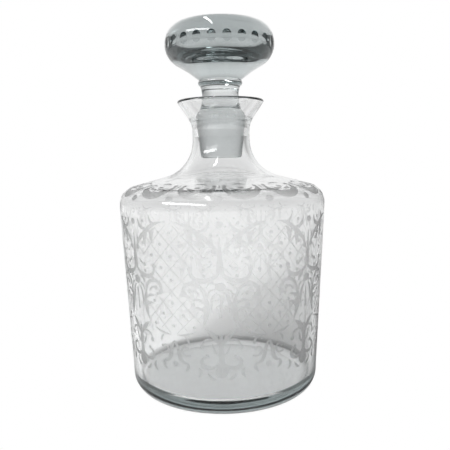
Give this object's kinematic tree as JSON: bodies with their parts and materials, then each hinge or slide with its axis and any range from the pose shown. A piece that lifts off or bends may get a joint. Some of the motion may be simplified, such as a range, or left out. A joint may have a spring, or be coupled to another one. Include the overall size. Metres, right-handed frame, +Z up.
{
  "type": "wine decanter",
  "caption": "Stoppered wine decanter in clear glass: thick round base, sloping shoulder, narrow neck with a flared mouth, etched scroll band, ground mushroom stopper.",
  "frame": {"origin": "centre of the underside, on the surface the decanter stands on", "axes": "+Z up along the axis that bottle and stopper are turned about; +X and +Y level"},
  "size_m": [0.1202, 0.1202, 0.214],
  "materials": {
    "bottle_glass": "clear polished glass with a frosted etched scroll pattern",
    "stopper_glass": "clear polished solid glass with a ground, matt plug"
  },
  "bodies": {
    "bottle": {"bottle": "bottle_glass"},
    "stopper": {"stopper": "stopper_glass"}
  },
  "joints": [
    {"name": "stopper_lift", "type": "slide", "parent": "bottle", "child": "stopper", "axis": [0, 0, 1], "range_m": [0, 0.06]}
  ]
}
